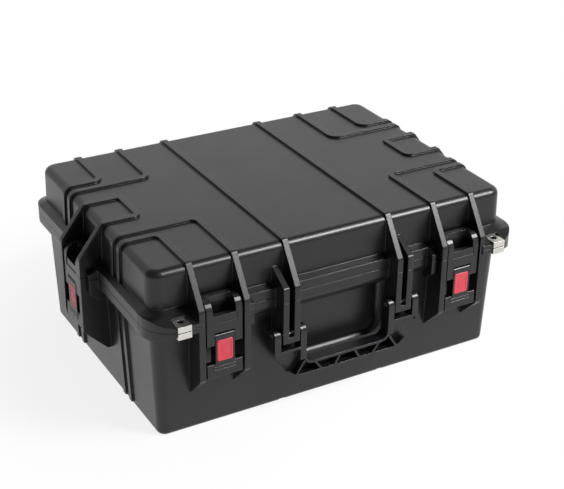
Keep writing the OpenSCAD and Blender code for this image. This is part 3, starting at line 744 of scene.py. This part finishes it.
@dataclass
class Studio:
    """White paper floor before a white backdrop, in a dimmer room with one softbox.

    The room and the softbox light the case at a plain level, and the backdrop's
    strength of 1 is plain white. To the camera and to reflections the paper fades to
    the same white away from the case, where no shadow reaches it.

    Attributes:
        reach: Half size of the floor, in metres.
        paper: Hex colour of the floor.
        backdrop: Strength of the white backdrop behind the case.
        room: Strength of the dimmer room and ceiling round it.
        backdrop_way: Level direction from the camera to the backdrop's middle.
        backdrop_top: Height of the backdrop's top, as a sine.
        ceiling_foot: Height at which the ceiling is reached, as a sine.
        backdrop_edge: Cosines of the turn at which the backdrop ends, and is full.
        lift: Share of plain white in the paper beside the case.
        near: Distance from the case's middle at which that share starts to grow, in metres.
        clear: Distance from the case's middle at which the paper is plain white, in metres.
        cells: Squares along each edge of the floor's mesh.
        fibres: Fibres of the paper in a metre.
        fibre_depth: Depth of the paper's fibres, in mm.
        fibre_relief: Share of that depth that shows.
        softbox: Strength of the softbox's face.
        softbox_size: Edge of the softbox, in metres.
        softbox_place: Its centre, in metres.
        softbox_aim: The point that it faces, in metres.
    """

    reach: float = 14.0
    paper: str = "f8f8f8"
    backdrop: float = 1.0
    room: float = 0.22
    backdrop_way: tuple[float, float, float] = (0.5, 0.866, 0.0)
    backdrop_top: float = 0.5
    ceiling_foot: float = 0.8
    backdrop_edge: tuple[float, float] = (0.1, 0.7)
    lift: float = 0.84
    near: float = 0.3
    clear: float = 0.62
    cells: int = 8
    fibres: float = 900.0
    fibre_depth: float = 0.02
    fibre_relief: float = 0.3
    softbox: float = 34.0
    softbox_size: float = 0.9
    softbox_place: tuple[float, float, float] = (1.3, -1.5, 1.9)
    softbox_aim: tuple[float, float, float] = (0.0, 0.0, 0.12)

    def seen(self, g: Graph) -> bpy.types.NodeSocket:
        """Gives 1 where the camera, a reflection or a refraction looks, and 0 elsewhere.

        Args:
            g: The graph to add to.

        Returns:
            The socket that carries it.
        """
        path = g.add("ShaderNodeLightPath").outputs
        mirrored = g.add(
            "ShaderNodeMath",
            {0: path["Is Glossy Ray"], 1: path["Is Transmission Ray"]}, operation="ADD",
        ).outputs[0]
        return g.add(
            "ShaderNodeMath", {0: path["Is Camera Ray"], 1: mirrored},
            operation="ADD", use_clamp=True,
        ).outputs[0]

    def build_floor(self) -> bpy.types.Object:
        """Lays the floor under the case.

        Returns:
            The floor.
        """
        row = self.cells + 1
        along = np.linspace(-self.reach, self.reach, row)
        u, v = np.meshgrid(along, along, indexing="xy")
        points = np.stack([u, v, np.zeros_like(u)], -1).reshape(-1, 3)
        i, j = np.meshgrid(np.arange(self.cells), np.arange(self.cells), indexing="ij")
        first = i * row + j
        faces = np.stack([first, first + 1, first + row + 1, first + row], -1).reshape(-1, 4)
        floor = new_piece("studio_floor", points, faces)
        g = new_graph("studio_paper")
        place = g.place()
        fibre = g.noise(place, 1 / (self.fibres * MM), 2.0)
        relief = g.relief(fibre, self.fibre_depth, self.fibre_relief)
        paper = g.add(
            "ShaderNodeBsdfDiffuse", {"Color": linear(self.paper), "Normal": relief}
        ).outputs[0]
        away = g.add("ShaderNodeVectorMath", {0: place}, operation="LENGTH").outputs["Value"]
        white = g.span(away, (self.lift, 1.0), (self.near, self.clear), "SMOOTHSTEP")
        share = g.add(
            "ShaderNodeMath", {0: white, 1: self.seen(g)}, operation="MULTIPLY"
        ).outputs[0]
        plain = g.add("ShaderNodeEmission", {"Strength": 1.0}).outputs[0]
        mixed = g.add("ShaderNodeMixShader", {0: share, 1: paper, 2: plain}).outputs[0]
        g.add("ShaderNodeOutputMaterial", {"Surface": mixed})
        floor.data.materials.append(g.owner)
        return floor

    def build_room(self) -> None:
        """Lights the case from a white backdrop behind it, in a dimmer room.

        The strength falls smoothly from the backdrop's to the room's with the height of
        the direction, which is the sine of its angle above the floor, and with its turn
        away from the backdrop's middle, taken as the cosine of that turn.
        """
        world = bpy.data.worlds.new("white_room")
        bpy.context.scene.world = world
        world.use_nodes = True
        world.node_tree.nodes.clear()
        g = Graph(world)
        way = g.add("ShaderNodeTexCoord").outputs["Generated"]
        height = g.add("ShaderNodeSeparateXYZ", {0: way}).outputs["Z"]
        below = g.span(
            height, (1.0, 0.0), (self.backdrop_top, self.ceiling_foot), "SMOOTHSTEP"
        )
        turned = g.add(
            "ShaderNodeVectorMath", {0: way, 1: self.backdrop_way}, operation="DOT_PRODUCT"
        ).outputs["Value"]
        behind = g.span(turned, (0.0, 1.0), self.backdrop_edge, "SMOOTHSTEP")
        both = g.add("ShaderNodeMath", {0: below, 1: behind}, operation="MULTIPLY").outputs[0]
        light = g.add(
            "ShaderNodeBackground",
            {"Color": linear("ffffff"), "Strength": g.span(both, (self.room, self.backdrop))},
        ).outputs[0]
        g.add("ShaderNodeOutputWorld", {"Surface": light})

    def build_softbox(self) -> None:
        """Hangs the softbox in front of the case, high on its right."""
        data = bpy.data.lights.new("softbox", "AREA")
        data.shape = "SQUARE"
        data.size = self.softbox_size
        # a face of radiance L and area A gives off pi * L * A watts
        data.energy = math.pi * self.softbox * self.softbox_size**2
        lamp = bpy.data.objects.new("softbox", data)
        aim = Vector(self.softbox_aim) - Vector(self.softbox_place)
        turn = aim.to_track_quat("-Z", "Y").to_matrix().to_4x4()
        lamp.matrix_world = Matrix.Translation(self.softbox_place) @ turn
        lamp.visible_camera = False
        bpy.context.scene.collection.objects.link(lamp)

    def build(self) -> None:
        """Builds the floor and the lights."""
        self.build_floor()
        self.build_room()
        self.build_softbox()
        LOG.info("the studio is set")


@dataclass
class PhotoCamera:
    """Camera at the photograph's place, in metres, degrees and pixels."""

    place: tuple[float, float, float] = (-0.79335, -1.42918, 0.97745)
    yaw: float = 29.977
    pitch: float = 27.399
    roll: float = 0.856
    focal: float = 1314.42
    centre: tuple[float, float] = (287.603, 244.927)
    frame: tuple[int, int] = (564, 489)
    sensor: float = 36.0

    def build(self) -> None:
        """Sets up the camera and makes it the scene's own."""
        yaw, pitch, roll = (math.radians(a) for a in (self.yaw, self.pitch, self.roll))
        ahead = Vector((math.sin(yaw) * math.cos(pitch), math.cos(yaw) * math.cos(pitch),
                        -math.sin(pitch)))
        right = Vector((math.cos(yaw), -math.sin(yaw), 0))
        up = right.cross(ahead)
        across = math.cos(roll) * right + math.sin(roll) * up
        over = math.cos(roll) * up - math.sin(roll) * right
        data = bpy.data.cameras.new("photo_camera")
        width, height = self.frame
        data.sensor_width = self.sensor
        data.lens = self.focal / width * self.sensor
        data.shift_x = -(self.centre[0] - width / 2) / width
        data.shift_y = (self.centre[1] - height / 2) / width
        camera = bpy.data.objects.new("photo_camera", data)
        turn = Matrix((across, over, -ahead)).transposed()
        camera.matrix_world = Matrix.Translation(self.place) @ turn.to_4x4()
        bpy.context.scene.collection.objects.link(camera)
        bpy.context.scene.camera = camera


def main() -> None:
    """Builds the scene."""
    logging.basicConfig(level=logging.INFO, format="%(message)s")
    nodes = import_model()["nodes"]
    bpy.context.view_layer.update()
    bpy.context.scene.view_settings.view_transform = "Standard"
    wardrobe = Wardrobe()
    wardrobe.build()
    Mouldings().dress(nodes, wardrobe)
    CarryHandle().dress(nodes, wardrobe)
    PadlockPlates().dress(nodes, wardrobe)
    for latch in (
        Latch("front_left", Side.FRONT), Latch("front_right", Side.FRONT),
        Latch("left", Side.LEFT), Latch("right", Side.RIGHT),
    ):
        latch.dress(nodes, wardrobe)
        latch.build(wardrobe)
        LOG.info("latch %s is built", latch.place)
    Studio().build()
    PhotoCamera().build()


if __name__ == "__main__":
    main()
